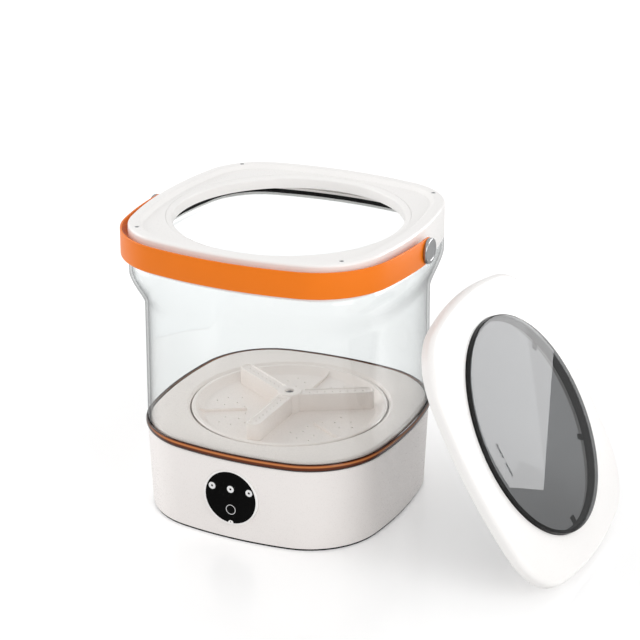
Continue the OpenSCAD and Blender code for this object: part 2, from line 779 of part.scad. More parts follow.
module pulsator() {
    r = pulsator_r;
    rim = pulsator_z + pulsator_h;
    color("#dcd4cf") difference() {
        union() {
            rotate_extrude($fn = 128) polygon([
                [0, pulsator_z], [dish_flat_r, pulsator_z], [r - 1, rim - 3], [r, rim - 2], [r, rim - 0.8],
                [r - 0.8, rim], [r - 4.2, rim], [r - 5.4, rim - 1], [dish_flat_r - 0.8, dish_top],
                [0, dish_top]]);
            translate([0, 0, dish_top - eps]) cylinder(r = hub_r, h = hub_top - dish_top);
            at_thirds(blade_turn) translate([0, 0, dish_top - eps])
                linear_extrude(blade_h) blade_plan(blade_w, 0, blade_reach);
            at_thirds(blade_turn + rib_turn) dish_rib();
        }
        at_thirds(blade_turn) {
            translate([0, 0, blade_top - 1.4]) linear_extrude(5)
                blade_plan(blade_w - 4, hub_r + 3, blade_reach - 2);
            for (x = [hub_r + 8:8:blade_reach - 10]) translate([x, 0, blade_top - 5]) drain_hole(8);
        }
        at_thirds(blade_turn + rib_turn) for (s = [-1, 1], p = drain_places)
            rotate(s * p[1]) translate([p[0], 0, pulsator_z - 1]) drain_hole(dish_t + 2);
        translate([0, 0, pulsator_z - 1]) cylinder(r = shaft_r + bore_gap, h = shaft_top - pulsator_z + 1);
        translate([0, 0, shaft_top - eps]) cylinder(r = screw_r + 1, h = 20);
        translate([0, 0, hub_top - 4]) cylinder(r = 5, h = 5);
    }
}

module at_thirds(first) {
    for (t = [0:120:240]) rotate(first + t) children();
}

module drain_hole(depth) {
    cylinder(r = drain_r, h = depth, $fn = 16);
}

// A thin low rib that runs out across the dish and ends on its sloping edge
module dish_rib() {
    slope_r = pulsator_r - 6;
    slope_top = pulsator_z + pulsator_h - 1.6;
    translate([0, rib_t / 2, 0]) rotate([90, 0, 0]) linear_extrude(rib_t) polygon([
        [rib_from, dish_top - 1], [dish_flat_r, dish_top - 1], [slope_r, slope_top - 1],
        [slope_r, slope_top], [dish_flat_r - 4, dish_top + rib_h], [rib_from, dish_top + rib_h]]);
}

module pulsator_screw() {
    color("#3b3d3f") translate([0, 0, hub_top - 4]) rotate([180, 0, 0])
        screw_up(2, 4.2, 2, 12);
}

module drive_shaft() {
    color("#c3c6c8") difference() {
        translate([0, 0, shaft_low]) cylinder(r = shaft_r, h = shaft_top - shaft_low);
        translate([0, 0, shaft_top - 10]) cylinder(r = 2 + bore_gap, h = 11);
    }
}

module shaft_seal() {
    color("#232325") translate([0, 0, well_floor - seal_h]) rotate_extrude() polygon([
        [shaft_r + running, 0], [seal_r, 0], [seal_r, seal_h], [shaft_r + 2, seal_h],
        [shaft_r + running, seal_h - 1.6]]);
}

module ball_bearing(z) {
    color("#b4b7ba") translate([0, 0, z]) difference() {
        cylinder(r = bearing_r, h = bearing_w);
        translate([0, 0, -eps]) cylinder(r = shaft_r + shaft_gap, h = bearing_w + 1);
        for (h = [-eps, bearing_w - 0.6]) translate([0, 0, h]) difference() {
            cylinder(r = bearing_r - 2.2, h = 0.6 + eps);
            cylinder(r = shaft_r + 2, h = 2);
        }
    }
}

module upper_bearing() ball_bearing(bearing_top - 2 - bearing_w);

module lower_bearing() ball_bearing(bearing_low + 2);

module bearing_housing() {
    tube_r = bearing_r + 6;
    color("#a7aaad") difference() {
        union() {
            translate([0, 0, bearing_top - bearing_flange_t])
                cylinder(r = bearing_flange_r, h = bearing_flange_t);
            translate([0, 0, bearing_low]) cylinder(r = tube_r, h = bearing_len);
            around(4, tube_r - 1, 0) translate([0, -1.5, bearing_top - 24]) cube([12, 3, 22]);
        }
        translate([0, 0, bearing_low - 1]) cylinder(r = bearing_r - race_lip, h = bearing_len + 2);
        translate([0, 0, bearing_top - 2 - bearing_w]) cylinder(r = bearing_r + bore_gap, h = 20);
        translate([0, 0, bearing_low - 1]) cylinder(r = bearing_r + bore_gap, h = bearing_w + 3);
        around(4, bearing_screw_at, 45) translate([0, 0, bearing_top - 10])
            cylinder(r = screw_r + fit, h = 20);
    }
}

module bearing_screws() {
    color("#8d8f92") around(4, bearing_screw_at, 45) translate([0, 0, bearing_top - bearing_flange_t])
        screw_up(screw_r, screw_head_r, screw_head_t, bearing_flange_t + 4.5);
}

module driven_pulley() {
    r = driven_r;
    color("#4a4c4f") difference() {
        rotate_extrude($fn = 96) polygon([
            [shaft_r + bore_gap, pulley_low], [11, pulley_low], [11, belt_z - 1.5], [r - 4, belt_z - 1.5],
            [r - 4, pulley_low], [r + 2.6, pulley_low], [r + 2.6, pulley_low + 1.2], [r, pulley_low + 1.6],
            [r, pulley_low + rim_h - 1.6], [r + 2.6, pulley_low + rim_h - 1.2], [r + 2.6, pulley_low + rim_h],
            [r - 4, pulley_low + rim_h], [r - 4, belt_z + 1.5], [11, belt_z + 1.5], [11, pulley_low + rim_h],
            [shaft_r + bore_gap, pulley_low + rim_h]]);
        around(6, 30, 0) translate([0, 0, belt_z - 5]) cylinder(r = 8, h = 10);
    }
}

module pulley_nut() {
    color("#8d8f92") translate([0, 0, pulley_low - nut_h]) difference() {
        cylinder(r = nut_r, h = nut_h, $fn = 6);
        translate([0, 0, -eps]) cylinder(r = shaft_r + bore_gap, h = nut_h + 1);
    }
}

// The outline round two pulleys: their circles and the four-sided piece between the tangents
module belt_plan(r1, r2) {
    t = asin((r1 - r2) / centre_d);
    circle(r1, $fn = 96);
    translate([0, centre_d]) circle(r2);
    polygon([[r1 * cos(t), r1 * sin(t)], [r2 * cos(t), centre_d + r2 * sin(t)],
        [-r2 * cos(t), centre_d + r2 * sin(t)], [-r1 * cos(t), r1 * sin(t)]]);
}

module drive_belt() {
    color("#1a1a1a") translate([0, 0, belt_z - belt_w / 2]) linear_extrude(belt_w) difference() {
        belt_plan(driven_r + running + belt_t, driver_r + running + belt_t);
        belt_plan(driven_r + running, driver_r + running);
    }
}

module motor_pulley() {
    r = driver_r;
    color("#c1a25a") translate([0, centre_d, 0]) rotate_extrude() polygon([
        [motor_shaft_r + bore_gap, pulley_low], [r + 2.6, pulley_low], [r + 2.6, pulley_low + 1.2],
        [r, pulley_low + 1.6], [r, pulley_low + rim_h - 1.6], [r + 2.6, pulley_low + rim_h - 1.2],
        [r + 2.6, pulley_low + rim_h], [motor_shaft_r + bore_gap, pulley_low + rim_h]]);
}

module motor_shaft() {
    color("#c3c6c8") translate([0, centre_d, pulley_low - 2])
        cylinder(r = motor_shaft_r, h = motor_z + 8 - pulley_low);
}

module motor() {
    color("#9fa3a6") translate([0, centre_d, 0]) difference() {
        union() {
            rotate_extrude() polygon([[0, motor_z], [motor_r - 1, motor_z], [motor_r, motor_z + 1],
                [motor_r, motor_z + motor_h - 3], [motor_r - 3, motor_z + motor_h], [0, motor_z + motor_h]]);
            translate([0, 0, bracket_z - 1]) cylinder(r = pilot_r, h = bracket_t + 1 + eps);
            translate([-motor_r - 3, -6, motor_z + motor_h - 16]) cube([6, 12, 8]);
        }
        translate([0, 0, bracket_z - 2]) cylinder(r = motor_shaft_r + shaft_gap, h = bracket_t + 12);
        for (x = [-1, 1]) translate([x * motor_screw_at, 0, motor_z - 1]) cylinder(r = screw_r, h = 6);
    }
}

module motor_screws() {
    color("#8d8f92") for (x = [-1, 1]) translate([x * motor_screw_at, centre_d, bracket_z])
        screw_up(screw_r, screw_head_r, screw_head_t, bracket_t + 4);
}

module motor_bracket() {
    wide = bracket_post_x + 10;
    deep = bracket_post_y + 10;
    color("#b8bbbd") difference() {
        translate([-wide, centre_d - deep, bracket_z]) cube([2 * wide, 2 * deep, bracket_t]);
        translate([0, centre_d, bracket_z - 1]) cylinder(r = pilot_r + fit, h = 5);
        for (x = [-1, 1]) translate([x * motor_screw_at, centre_d, bracket_z - 1])
            cylinder(r = screw_r + fit, h = 5);
        at_bracket_posts() translate([0, 0, bracket_z - 1]) cylinder(r = 3, h = 5);
    }
}

module bracket_grommets() {
    color("#2a2a2c") at_bracket_posts() difference() {
        union() {
            translate([0, 0, bracket_top]) cylinder(r = grommet_r, h = grommet_t);
            translate([0, 0, bracket_z - grommet_t]) cylinder(r = grommet_r, h = grommet_t);
            translate([0, 0, bracket_z - eps]) cylinder(r = 3 - fit, h = bracket_t + 2 * eps);
        }
        translate([0, 0, bracket_z - grommet_t - 1]) cylinder(r = screw_r + fit, h = 20);
    }
}

module bracket_screws() {
    color("#8d8f92") at_bracket_posts() translate([0, 0, bracket_z - grommet_t])
        screw_up(screw_r, 4.2, screw_head_t, 2 * grommet_t + bracket_t + 10);
}

module at_board_corners() {
    for (x = [-1, 1], y = [-1, 1]) translate([board_x + x * (board_w / 2 - 4), y * (board_l / 2 - 4), 0])
        children();
}

module driver_board() {
    top = board_z + board_t;
    color("#2f6b46") difference() {
        translate([board_x - board_w / 2, -board_l / 2, board_z]) cube([board_w, board_l, board_t]);
        at_board_corners() translate([0, 0, board_z - 1]) cylinder(r = screw_r + fit, h = 5);
    }
    color("#26282b") translate([board_x - 10, 4, top]) cylinder(r = 6, h = 14);
    color("#3c5d8a") translate([board_x + 2, 2, top]) cube([12, 10, 9]);
    color("#e6e3dc") for (y = [-27, 19]) translate([board_x - 6, y, top]) cube([12, 7, 8]);
    color("#b4b7ba") translate([board_x - 12, -16, top]) cube([20, 3, 13]);
}

module driver_board_screws() {
    color("#8d8f92") at_board_corners() translate([0, 0, board_z + board_t]) rotate([180, 0, 0])
        screw_up(screw_r - 0.1, 2.6, screw_head_t, board_t + 4);
}

module power_inlet() {
    face = housing_half(inlet_z);
    color("#1f2022") translate([0, 0, inlet_z]) rotate([-90, 0, 0]) difference() {
        union() {
            translate([0, 0, face - inlet_len]) cylinder(r = inlet_r, h = inlet_len + 1);
            translate([0, 0, face + 0.5]) cylinder(r = inlet_flange_r, h = 1.6);
        }
        translate([0, 0, face - 9]) difference() {
            cylinder(r = plug_r, h = 20);
            cylinder(r = 0.9, h = 8);
        }
    }
}

module inlet_nut() {
    face = housing_half(inlet_z) - wall - 0.8;
    color("#8d8f92") translate([0, face, inlet_z]) rotate([90, 0, 0]) difference() {
        cylinder(r = inlet_r + 3, h = 2.6, $fn = 6);
        translate([0, 0, -eps]) cylinder(r = inlet_r + bore_gap, h = 4);
    }
}

module rod(a, b, r) {
    d = b - a;
    translate(a) rotate([0, acos(d[2] / norm(d)), atan2(d[1], d[0])]) cylinder(r = r, h = norm(d), $fn = 8);
}

// A wire along its points; each length runs on a little past a bend, into the next one
module wire(points) {
    last = len(points) - 1;
    for (i = [1:last])
        let (d = points[i] - points[i - 1], past = d * wire_r / norm(d) / 2)
            rod(points[i - 1] - (i > 1 ? 1 : 0) * past, points[i] + (i < last ? 1 : 0) * past, wire_r);
}

module wiring() {
    top = board_z + board_t + 8;
    low = plate_top + 3;
    plug_y = housing_half(inlet_z) - inlet_len;
    color("#7d2f2a") wire([[board_x, 24, top], [board_x, 24, top + 4], [board_x, 60, top + 4],
        [board_x + 34, centre_d, low + 6], [board_x + 34, centre_d, motor_z + 32],
        [-motor_r - 3, centre_d, motor_z + 32]]);
    color("#2b3f7d") wire([[board_x + 4, 24, top], [board_x + 4, 24, top + 6],
        [board_x + 32, half_w - 31, low], [-8, plug_y - 8, low], [0, plug_y - 8, inlet_z],
        [0, plug_y, inlet_z]]);
    color("#5a5b5d") wire([[board_x, -23.5, top], [board_x, -23.5, top + 4], [board_x, -60, low],
        [-40, 39 - half_w, low], [0, 25 - half_w, panel_z - 14],
        [0, -ledge_back + board_t + 5, panel_z - 14]]);
}

// Stands the lid, drawn lying face up, beside the machine
module standing() {
    translate([lid_x, lid_y, lid_z]) rotate([0, lid_tilt, lid_turn]) children();
}

module lid_frame() {
    a = lid_half;
    color("#fbfaf8") standing() difference() {
        sweep(on(lid_c, [
            [a - 0.9, -lid_h], [a, -lid_h + 1], [a, -lid_round], [a - 0.7, -lid_round * 0.48],
            [a - lid_round * 0.48, -0.7], [a - lid_round, 0], [lid_inner, 0], [lid_inner, -lid_wall],
            [a - lid_wall - 3, -lid_wall], [a - lid_wall, -lid_wall - 2.6], [a - lid_wall, -lid_h]]));
        translate([0, 0, -lid_h]) cylinder(r = window_r + fit, h = lid_h + 10, $fn = 128);
        at_lid_screws() translate([0, 0, -lid_wall - 1]) cylinder(r = screw_r, h = lid_wall);
    }
}

module lid_window() {
    r = window_r;
    rise = window_rise;
    color("#4a4c4e", 0.6) standing() difference() {
        rotate_extrude($fn = 128) polygon([
            [r - pane_t, pane_low], [r, pane_low], [r, rise - 2], [r - 0.6, rise - 0.7], [r - 2.4, rise],
            [0, rise], [0, rise - pane_t], [r - pane_t - 1.4, rise - pane_t],
            [r - pane_t, rise - pane_t - 1.4]]);
        for (s = [-1, 1]) translate([slot_off + s * (slot_l + slot_gap) / 2, -slot_at, rise - pane_t - 1])
            translate([-slot_l / 2, -slot_w / 2, 0]) cube([slot_l, slot_w, pane_t + 4]);
    }
}

// A rubber sleeve inside the window's side, with a foot that the window stands on
module lid_seal() {
    top = window_rise - pane_t - fit;
    color("#151515") standing() rotate_extrude($fn = 128) polygon([
        [sleeve_in, sleeve_low], [sleeve_out, sleeve_low], [sleeve_out, lid_ledge_z], [window_r, lid_ledge_z],
        [window_r, pane_low], [sleeve_out, pane_low], [sleeve_out, top - 1.5], [sleeve_in + 0.5, top],
        [sleeve_in, top]]);
}

module lid_inner_ring() {
    out = plug_r_out;
    color("#f4f2ef") standing() difference() {
        union() {
            rotate_extrude($fn = 128) polygon([
                [window_r + 0.3, lid_plug_low], [out - 0.8, lid_plug_low], [out, lid_plug_low + 0.8],
                [out, -lid_wall - 2], [out + 8, -lid_wall - 2], [out + 8, -lid_wall],
                [window_r + fit, -lid_wall], [window_r + fit, lid_ledge_z], [ledge_in, lid_ledge_z],
                [ledge_in, clip_low], [window_r + 0.3, clip_low - 2.4]]);
            at_lid_screws() translate([-14, -6, -lid_wall - 2]) cube([14, 12, 2]);
            at_lid_screws() translate([0, 0, -lid_wall - 2]) cylinder(r = 6, h = 2);
        }
        at_lid_screws() translate([0, 0, -lid_wall - 6]) cylinder(r = screw_r + fit, h = 12);
    }
}

module at_lid_screws() {
    around(4, plug_r_out + 16, 45) children();
}

module lid_clips() {
    color("#101010") standing() for (t = [0, 60, 120])
        rotate(t) translate([ledge_in - fit - clip_l, -clip_w / 2, clip_low]) cube([clip_l, clip_w, clip_t]);
}

module lid_screws() {
    color("#8d8f92") standing() at_lid_screws() translate([0, 0, -lid_wall - 2])
        screw_up(screw_r, 2.6, screw_head_t, 2 + 1.4);
}

foot_ring();
base_plate();
base_screws();
base_housing();
trim_ring();
tub_gasket();
tub();
wash_deck();
deck_screws();
collar_gasket();
collar();
mouth_ring();
collar_screws();
handle();
handle_pins();
handle_washers();
pin_nuts();
panel_bezel();
indicator_lens();
touch_panel();
panel_rings();
panel_screws();
touch_board();
touch_pads();
touch_board_screws();
pulsator();
pulsator_screw();
drive_shaft();
shaft_seal();
upper_bearing();
lower_bearing();
bearing_housing();
bearing_screws();
driven_pulley();
pulley_nut();
drive_belt();
motor_pulley();
motor_shaft();
motor();
motor_screws();
motor_bracket();
bracket_grommets();
bracket_screws();
driver_board();
driver_board_screws();
power_inlet();
inlet_nut();
wiring();
lid_frame();
lid_window();
lid_seal();
lid_inner_ring();
lid_clips();
lid_screws();
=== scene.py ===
import json
import math

import bmesh
import bpy
from mathutils import Matrix, Vector


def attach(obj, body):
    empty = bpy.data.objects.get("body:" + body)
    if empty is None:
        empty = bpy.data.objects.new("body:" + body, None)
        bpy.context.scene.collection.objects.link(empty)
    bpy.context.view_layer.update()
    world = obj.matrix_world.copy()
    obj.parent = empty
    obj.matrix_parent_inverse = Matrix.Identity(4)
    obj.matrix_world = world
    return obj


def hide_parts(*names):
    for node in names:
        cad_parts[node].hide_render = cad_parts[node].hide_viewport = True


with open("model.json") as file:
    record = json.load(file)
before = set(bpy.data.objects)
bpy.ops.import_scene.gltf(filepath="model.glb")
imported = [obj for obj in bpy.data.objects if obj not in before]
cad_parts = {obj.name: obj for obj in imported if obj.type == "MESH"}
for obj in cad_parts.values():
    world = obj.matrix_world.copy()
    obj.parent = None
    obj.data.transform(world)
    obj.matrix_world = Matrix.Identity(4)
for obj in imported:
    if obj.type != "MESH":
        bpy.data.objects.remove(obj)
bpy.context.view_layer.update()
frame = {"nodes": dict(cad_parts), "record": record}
scene = bpy.context.scene
MM = 0.001
# Edges that turn by more than this many degrees are shaded sharp
SHARP = 32.0

# Sizes, in millimetres; tilts and turns in degrees

BODY_HALF = 135.0
SIDE_MID = 385.0 - BODY_HALF
FOOT_T = 2.0
HOUSING_TOP = 90.0
HOUSING_DRAFT = 3.5
WALL = 3.0
FLANGE_T = 2.8
INLET_R, INLET_Z = 6.2, 24.0
TRIM_TOP = 98.9
TRIM_SEAT = 92.4
TRIM_BULGE = 1.9
TUB_LOW = 134.7
TUB_HIGH = 133.9
TUB_WALL = 2.6
FLARE_LOW, FLARE_TOP = 227.0, 261.0
SEAM = 276.0
TONGUE_H = 6.5
COLLAR_HALF = 144.4
COLLAR_TOP = 313.5
RECESS = 309.2
MOUTH_R = 118.0
FUNNEL = 6.2
PLATE_T = 2.4
PLATE_LOW = RECESS - PLATE_T
SLOPE_TOP, SLOPE_FOOT = 133.4, 129.4
COLLAR_IN = 141.9
SHELF_IN, SHELF_Z = 137.9, 287.1
SEAL_TOP = 284.9
SCREW_AT, SCREW_WELL_R = 111.7, 2.4
MOUTH_WALL = 2.6
MOUTH_LOW = 296.5
MOUTH_FLANGE_R = 131.0
DECK_Z = 99.6
DECK_T = 2.4
WELL_R = 108.0
WELL_FLOOR = 88.4
WELL_HOLE_R = 11.2
LIP_R = 104.4
PULS_R = 103.0
SHAFT_HOLE_R = 5.05
BLADE_W = 15.5
TROUGH_W = 11.5
DRAIN_R = 1.0
STRAP_HALF = 151.3
STRAP_T = 2.0
STRAP_W = 27.0
STRAP_LIFT = 0.5
PIVOT_Z = 293.5
BOSS_R, BOSS_HOLE_R, BOSS_OUT = 9.0, 4.4, 5.8
PIN_R, PIN_HOLE_R = 4.2, 4.3
PIN_END = 136.7
CAP_R = 13.2
CAP_T = 3.75
PANEL_Z = 48.8
PANEL_R = 28.3
START_R, START_LINE, START_DROP = 5.4, 0.55, 13.4
PROGRAM_R, PROGRAM_HOLE, PROGRAM_GAP, PROGRAM_RISE = 3.8, 1.2, 20.9, 9.4
LID_HALF = 147.5
LID_H = 13.0
LID_WALL = 2.6
WINDOW_R = 113.3
WINDOW_RISE = 5.6
PANE_T = 2.4
SLOT_L, SLOT_W = 14.3, 2.0
LID_TILT, LID_TURN = 59.9, 0.3
LID_AT = (272.7, -10.5, LID_HALF * math.sin(math.radians(LID_TILT))
          + (LID_H - 1) * math.cos(math.radians(LID_TILT)) + 0.2)


def corner_mid(a, r):
    """How far from each axis the centre of a corner of radius r lies, for half width a."""
    reach = a + SIDE_MID - r
    return (math.sqrt(2 * reach * reach - SIDE_MID ** 2) - SIDE_MID) / 2


LOW_C = corner_mid(BODY_HALF, 84.0)
TOP_C = corner_mid(COLLAR_HALF, 69.0)
STRAP_C = corner_mid(STRAP_HALF + STRAP_T, 84.0)
LID_C = corner_mid(LID_HALF, 75.0)


# Mesh helpers

def quarter(a, c, side, corner):
    """Points of one quarter of the rounded square: a bulged side, then a corner."""
    t = math.atan2(c, c + SIDE_MID)
    r = a + SIDE_MID - math.hypot(c + SIDE_MID, c)
    out = []
    for i in range(side):
        w = -t + 2 * t * i / side
        out.append(((a + SIDE_MID) * math.cos(w) - SIDE_MID, (a + SIDE_MID) * math.sin(w)))
    for i in range(corner):
        w = t + (math.pi / 2 - 2 * t) * i / corner
        out.append((c + r * math.cos(w), c + r * math.sin(w)))
    return out


SIDE_STEPS, CORNER_STEPS = 14, 26


def ring(a, c, z):
    """A rounded square of half width a at height z."""
    pts = []
    for q in range(4):
        co, si = math.cos(q * math.pi / 2), math.sin(q * math.pi / 2)
        pts += [(x * co - y * si, x * si + y * co, z) for x, y in quarter(a, c, SIDE_STEPS, CORNER_STEPS)]
    return pts


def round_ring(r, c, z):
    """A circle whose points lie in line with those of a rounded square."""
    return [(r * x / math.hypot(x, y), r * y / math.hypot(x, y), z) for x, y, _ in ring(BODY_HALF, c, z)]


def fillet(points, steps=5, closed=True):
    """Rounds the corners of an outline of (a, z, radius) points."""
    out = []
    n = len(points)
    for i, p in enumerate(points):
        ends = not closed and i in (0, n - 1)
        if len(p) < 3 or p[2] == 0 or ends:
            out.append((p[0], p[1]))
            continue
        b = Vector(p[:2])
        u = Vector(points[i - 1][:2]) - b
        v = Vector(points[(i + 1) % n][:2]) - b
        half = u.angle(v) / 2
        t = min(p[2] / math.tan(half), u.length * 0.48, v.length * 0.48)
        r = t * math.tan(half)
        u.normalize()
        v.normalize()
        mid = b + (u + v).normalized() * (r / math.sin(half))
        s, e = b + u * t - mid, b + v * t - mid
        a0 = math.atan2(s.y, s.x)
        turn = (math.atan2(e.y, e.x) - a0 + math.pi) % (2 * math.pi) - math.pi
        for k in range(steps + 1):
            w = a0 + turn * k / steps
            out.append((mid.x + r * math.cos(w), mid.y + r * math.sin(w)))
    return out


def build(name, verts, faces, sharp=SHARP, matrix=None):
    """A smooth-shaded mesh object from points in millimetres."""
    mesh = bpy.data.meshes.new(name)
    mesh.from_pydata([tuple(v * MM for v in p) for p in verts], [], faces)
    bm = bmesh.new()
    bm.from_mesh(mesh)
    bmesh.ops.remove_doubles(bm, verts=bm.verts, dist=1e-7)
    bmesh.ops.recalc_face_normals(bm, faces=bm.faces)
    bm.to_mesh(mesh)
    bm.free()
    if matrix is not None:
        mesh.transform(matrix)
    mesh.shade_smooth()
    mesh.set_sharp_from_angle(angle=math.radians(sharp))
    obj = bpy.data.objects.new(name, mesh)
    scene.collection.objects.link(obj)
    return obj


def loft(name, rings, closed=True, caps=False, **kw):
    """Joins rings of points, in order, with quads."""
    n = len(rings[0])
    m = len(rings)
    verts = [p for r in rings for p in r]
    faces = []
    for k in range(m if closed else m - 1):
        for i in range(n):
            a, b = k * n + i, k * n + (i + 1) % n
            c, d = ((k + 1) % m) * n + (i + 1) % n, ((k + 1) % m) * n + i
            faces.append((a, b, c, d))
    if caps:
        faces += [tuple(range(n))[::-1], tuple(range((m - 1) * n, m * n))]
    return build(name, verts, faces, **kw)


def swept(name, outline, c):
    """Sweeps a closed outline round the rounded square."""
    return loft(name, [ring(a, c, z) for a, z in fillet(outline)])


def circle_ring(r, z, n):
    return [(r * math.cos(2 * math.pi * i / n), r * math.sin(2 * math.pi * i / n), z) for i in range(n)]


def lathe(name, outline, n=128, **kw):
    """Turns a closed outline about Z. Points on the axis are pulled a hair off it."""
    return loft(name, [circle_ring(max(r, 0.01), z, n) for r, z in fillet(outline)], **kw)


def applied(obj):
    """Bakes an object's modifiers into its mesh."""
    deps = bpy.context.evaluated_depsgraph_get()
    mesh = bpy.data.meshes.new_from_object(obj.evaluated_get(deps))
    old = obj.data
    obj.modifiers.clear()
    obj.data = mesh
    bpy.data.meshes.remove(old)
    return obj


def carve(obj, cutters):
    """Cuts the cutters out of an object and removes them."""
    for cutter in cutters:
        mod = obj.modifiers.new("cut", "BOOLEAN")
        mod.object = cutter
        mod.operation = "DIFFERENCE"
        mod.solver = "EXACT"
    applied(obj)
    for cutter in cutters:
        bpy.data.objects.remove(cutter)
    obj.data.shade_smooth()
    obj.data.set_sharp_from_angle(angle=math.radians(SHARP))
    return obj


def bevelled(obj, width, segments):
    """Rounds an object's edges."""
    mod = obj.modifiers.new("edge", "BEVEL")
    mod.width = width * MM
    mod.segments = segments
    mod.limit_method = "ANGLE"
    mod.angle_limit = math.radians(40.0)
    applied(obj)
    obj.data.shade_smooth()
    obj.data.set_sharp_from_angle(angle=math.radians(SHARP))
    return obj


def rod(name, r, length, matrix, n=64):
    """A plain cylinder from height 0 to its length, then placed by the matrix."""
    ends = [circle_ring(r, 0, n), circle_ring(r, length, n)]
    return loft(name, ends, closed=False, caps=True, matrix=matrix)


def prism(name, plan, low, high, matrix):
    """A straight-sided solid between two heights."""
    return loft(name, [[(x, y, low) for x, y in plan], [(x, y, high) for x, y in plan]],
                closed=False, caps=True, matrix=matrix)


def joined(name, parts):
    """One object from several, each kept as its own shell."""
    verts, faces = [], []
    for part in parts:
        base = len(verts)
        verts += [v.co / MM for v in part.data.vertices]
        faces += [tuple(base + i for i in f.vertices) for f in part.data.polygons]
        bpy.data.objects.remove(part)
    mesh = bpy.data.meshes.new(name)
    mesh.from_pydata([tuple(c * MM for c in v) for v in verts], [], faces)
    mesh.shade_smooth()
    mesh.set_sharp_from_angle(angle=math.radians(SHARP))
    obj = bpy.data.objects.new(name, mesh)
    scene.collection.objects.link(obj)
    return obj


def place(x, y, z):
    return Matrix.Translation(Vector((x, y, z)) * MM)


def turned(angle, axis):
    return Matrix.Rotation(math.radians(angle), 4, axis)


FRONT = turned(90, "X")
LID = place(*LID_AT) @ turned(LID_TURN, "Z") @ turned(LID_TILT, "Y")


# Materials

def linear(r, g, b):
    """An sRGB colour of 0 to 255 as linear values."""
    return tuple((v / 12.92 if v <= 0.04045 else ((v + 0.055) / 1.055) ** 2.4)
                 for v in (r / 255, g / 255, b / 255)) + (1.0,)


def new_material(name):
    mat = bpy.data.materials.new(name)
    mat.use_nodes = True
    tree = mat.node_tree
    shader = tree.nodes["Principled BSDF"]
    return mat, tree, shader


def noise(tree, scale, detail):
    """A noise texture that stays with the object."""
    coords = tree.nodes.new("ShaderNodeTexCoord")
    tex = tree.nodes.new("ShaderNodeTexNoise")
    tex.inputs["Scale"].default_value = scale
    tex.inputs["Detail"].default_value = detail
    tree.links.new(coords.outputs["Object"], tex.inputs["Vector"])
    return tex


def ramp(tree, source, stops):
    """Colours from a value, given as (place, colour) stops in rising order."""
    node = tree.nodes.new("ShaderNodeValToRGB")
    while len(node.color_ramp.elements) < len(stops):
        node.color_ramp.elements.new(0.5)
    for el, (at, colour) in zip(node.color_ramp.elements, stops):
        el.position = at
        el.color = colour
    tree.links.new(source, node.inputs["Fac"])
    return node


def grey(v):
    return (v, v, v, 1.0)


def plastic(name, colour, rough=0.35, spread=0.06, shade=0.02, bump=0.04, specular=0.5):
    """Moulded plastic: fine grain, faint colour drift and uneven gloss."""
    mat, tree, shader = new_material(name)
    base = linear(*colour)
    drift = noise(tree, 14.0, 2.0)
    dark = tuple(v * (1 - shade) for v in base[:3]) + (1.0,)
    light = tuple(min(1.0, v * (1 + shade)) for v in base[:3]) + (1.0,)
    tone = ramp(tree, drift.outputs["Fac"], [(0.35, dark), (0.65, light)])
    tree.links.new(tone.outputs["Color"], shader.inputs["Base Color"])
    fine = noise(tree, 900.0, 4.0)
    gloss = ramp(tree, fine.outputs["Fac"], [(0.3, grey(rough - spread)), (0.7, grey(rough + spread))])
    tree.links.new(gloss.outputs["Color"], shader.inputs["Roughness"])
    relief = tree.nodes.new("ShaderNodeBump")
    relief.inputs["Strength"].default_value = bump
    relief.inputs["Distance"].default_value = 0.0002
    tree.links.new(fine.outputs["Fac"], relief.inputs["Height"])
    tree.links.new(relief.outputs["Normal"], shader.inputs["Normal"])
    shader.inputs["Specular IOR Level"].default_value = specular
    return mat


def metal(name, colour, rough=0.3, streak=0.0, shade=0.08):
    """Metal with fine turning or brushing marks."""
    mat, tree, shader = new_material(name)
    base = linear(*colour)
    tex = noise(tree, 160.0, 5.0)
    if streak:
        coords = tree.nodes.new("ShaderNodeTexCoord")
        squeeze = tree.nodes.new("ShaderNodeMapping")
        squeeze.inputs["Scale"].default_value = (1.0, 1.0, streak)
        tree.links.new(coords.outputs["Object"], squeeze.inputs["Vector"])
        tree.links.new(squeeze.outputs["Vector"], tex.inputs["Vector"])
    dark = tuple(v * (1 - shade) for v in base[:3]) + (1.0,)
    tone = ramp(tree, tex.outputs["Fac"], [(0.35, dark), (0.65, base)])
    tree.links.new(tone.outputs["Color"], shader.inputs["Base Color"])
    gloss = ramp(tree, tex.outputs["Fac"], [(0.3, grey(rough * 0.8)), (0.7, grey(rough * 1.25))])
    tree.links.new(gloss.outputs["Color"], shader.inputs["Roughness"])
    shader.inputs["Metallic"].default_value = 1.0
    return mat


